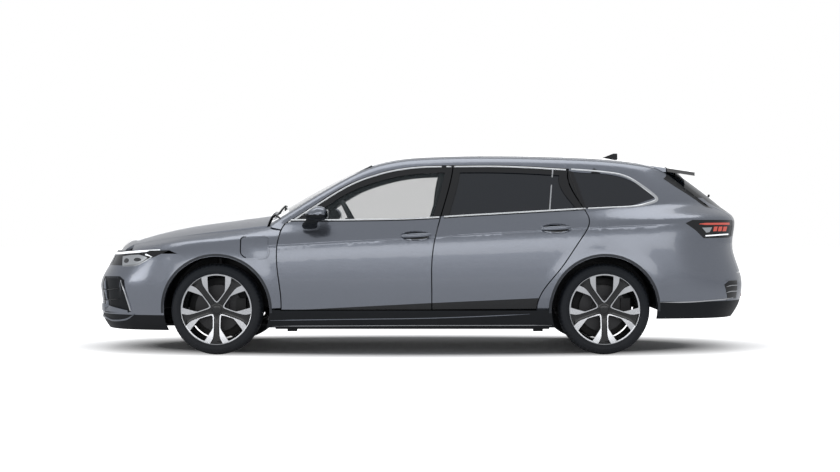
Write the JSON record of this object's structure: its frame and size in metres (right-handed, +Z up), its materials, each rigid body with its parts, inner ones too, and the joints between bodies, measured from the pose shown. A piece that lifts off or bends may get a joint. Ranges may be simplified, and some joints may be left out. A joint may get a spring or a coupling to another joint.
{
  "type": "station wagon",
  "caption": "five-door station wagon with hinged doors, hood and tailgate, steering linked to the front wheels, and wheels that roll freely",
  "frame": {"origin": "on the road surface, at the middle of the car's length and width", "axes": "+X points to the rear of the car, +Y to its right side and +Z up"},
  "size_m": [4.9119, 2.136, 1.512],
  "materials": {
    "car_paint": "metallic grey paint",
    "black_trim": "grained black plastic",
    "gloss_black": "gloss black plastic",
    "clear_glass": "clear safety glass",
    "dark_glass": "dark tinted glass",
    "lamp_clear": "clear lamp lens",
    "lamp_red": "red lamp lens",
    "tyre_rubber": "black tyre rubber",
    "alloy": "machined and black painted alloy",
    "brake_iron": "bare cast iron",
    "chassis_steel": "black coated steel",
    "engine_metal": "cast block with its gearbox and accessories",
    "seat_leather": "black leather",
    "cabin_plastic": "soft black plastic"
  },
  "bodies": {
    "body": {"antenna": "gloss_black", "cowl": "black_trim", "dashboard": "cabin_plastic", "door_pillars": "chassis_steel", "engine_block": "engine_metal", "firewall": "chassis_steel", "floor_pan": "black_trim", "front_bumper": "car_paint", "front_fenders": "car_paint", "front_grille": "gloss_black", "front_seats": "seat_leather", "front_suspension": "chassis_steel", "headlamps": "lamp_clear", "lid_hinges": "chassis_steel", "quarter_windows": "dark_glass", "rear_bumper": "car_paint", "rear_quarters": "car_paint", "rear_seat": "seat_leather", "rear_suspension": "chassis_steel", "roof_panel": "car_paint", "roof_rails": "car_paint", "sills": "black_trim", "tail_lamps": "lamp_red", "wheel_liners": "black_trim", "windscreen": "clear_glass"},
    "front_door_left": {"front_door_left": "car_paint", "front_window_left": "clear_glass", "mirror_left": "car_paint"},
    "front_door_right": {"front_door_right": "car_paint", "front_window_right": "clear_glass", "mirror_right": "car_paint"},
    "rear_door_left": {"rear_door_left": "car_paint", "rear_window_left": "dark_glass"},
    "rear_door_right": {"rear_door_right": "car_paint", "rear_window_right": "dark_glass"},
    "hood": {"hood": "car_paint"},
    "tailgate": {"tailgate": "car_paint", "rear_window": "dark_glass", "tailgate_lamps": "lamp_red"},
    "steering_wheel": {"steering_wheel": "cabin_plastic"},
    "knuckle_left": {"knuckle_left": "chassis_steel"},
    "knuckle_right": {"knuckle_right": "chassis_steel"},
    "charge_flap": {"charge_flap": "car_paint"},
    "fuel_flap": {"fuel_flap": "car_paint"},
    "wheel_front_left": {"tyre_front_left": "tyre_rubber", "rim_front_left": "alloy", "disc_front_left": "brake_iron"},
    "wheel_front_right": {"tyre_front_right": "tyre_rubber", "rim_front_right": "alloy", "disc_front_right": "brake_iron"},
    "wheel_rear_left": {"tyre_rear_left": "tyre_rubber", "rim_rear_left": "alloy", "disc_rear_left": "brake_iron"},
    "wheel_rear_right": {"tyre_rear_right": "tyre_rubber", "rim_rear_right": "alloy", "disc_rear_right": "brake_iron"}
  },
  "joints": [
    {"name": "steering", "type": "hinge", "parent": "body", "child": "steering_wheel", "pos_m": [-0.52, -0.37, 0.965], "axis": [0.8829, 0, 0.4695], "range_deg": [-525, 525]},
    {"name": "steer_left", "type": "hinge", "parent": "body", "child": "knuckle_left", "pos_m": [-1.5035, -0.702, 0.3353], "axis": [0, 0, 1], "range_deg": [-35, 35]},
    {"name": "steer_right", "type": "hinge", "parent": "body", "child": "knuckle_right", "pos_m": [-1.5035, 0.702, 0.3353], "axis": [0, 0, 1], "range_deg": [-35, 35]},
    {"name": "wheel_spin_front_left", "type": "hinge", "parent": "knuckle_left", "child": "wheel_front_left", "pos_m": [-1.5035, -0.792, 0.3353], "axis": [0, 1, 0], "continuous": true},
    {"name": "wheel_spin_rear_left", "type": "hinge", "parent": "body", "child": "wheel_rear_left", "pos_m": [1.3375, -0.784, 0.3353], "axis": [0, 1, 0], "continuous": true},
    {"name": "front_door_left_hinge", "type": "hinge", "parent": "body", "child": "front_door_left", "pos_m": [-0.983, -0.898, 0.6], "axis": [0, 0, -1], "range_deg": [0, 65]},
    {"name": "rear_door_left_hinge", "type": "hinge", "parent": "body", "child": "rear_door_left", "pos_m": [0.145, -0.898, 0.6], "axis": [0, 0, -1], "range_deg": [0, 70]},
    {"name": "wheel_spin_front_right", "type": "hinge", "parent": "knuckle_right", "child": "wheel_front_right", "pos_m": [-1.5035, 0.792, 0.3353], "axis": [0, 1, 0], "continuous": true},
    {"name": "wheel_spin_rear_right", "type": "hinge", "parent": "body", "child": "wheel_rear_right", "pos_m": [1.3375, 0.784, 0.3353], "axis": [0, 1, 0], "continuous": true},
    {"name": "front_door_right_hinge", "type": "hinge", "parent": "body", "child": "front_door_right", "pos_m": [-0.983, 0.898, 0.6], "axis": [0, 0, 1], "range_deg": [0, 65]},
    {"name": "rear_door_right_hinge", "type": "hinge", "parent": "body", "child": "rear_door_right", "pos_m": [0.145, 0.898, 0.6], "axis": [0, 0, 1], "range_deg": [0, 70]},
    {"name": "hood_hinge", "type": "hinge", "parent": "body", "child": "hood", "pos_m": [-1.1655, 0, 1.03539], "axis": [0, 1, 0], "range_deg": [0, 55]},
    {"name": "tailgate_hinge", "type": "hinge", "parent": "body", "child": "tailgate", "pos_m": [1.8705, 0, 1.39774], "axis": [0, -1, 0], "range_deg": [0, 80]},
    {"name": "charge_flap_hinge", "type": "hinge", "parent": "body", "child": "charge_flap", "pos_m": [-1.301, -0.8993, 0.79], "axis": [0, -0.2669, -0.9637], "range_deg": [0, 85]},
    {"name": "fuel_flap_hinge", "type": "hinge", "parent": "body", "child": "fuel_flap", "pos_m": [1.499, 0.9055, 0.88], "axis": [0, -0.122, 0.9925], "range_deg": [0, 85]}
  ],
  "couplings": [
    {"joint": "steer_left", "follows": "steering", "ratio": 0.066667},
    {"joint": "steer_right", "follows": "steering", "ratio": 0.066667}
  ]
}
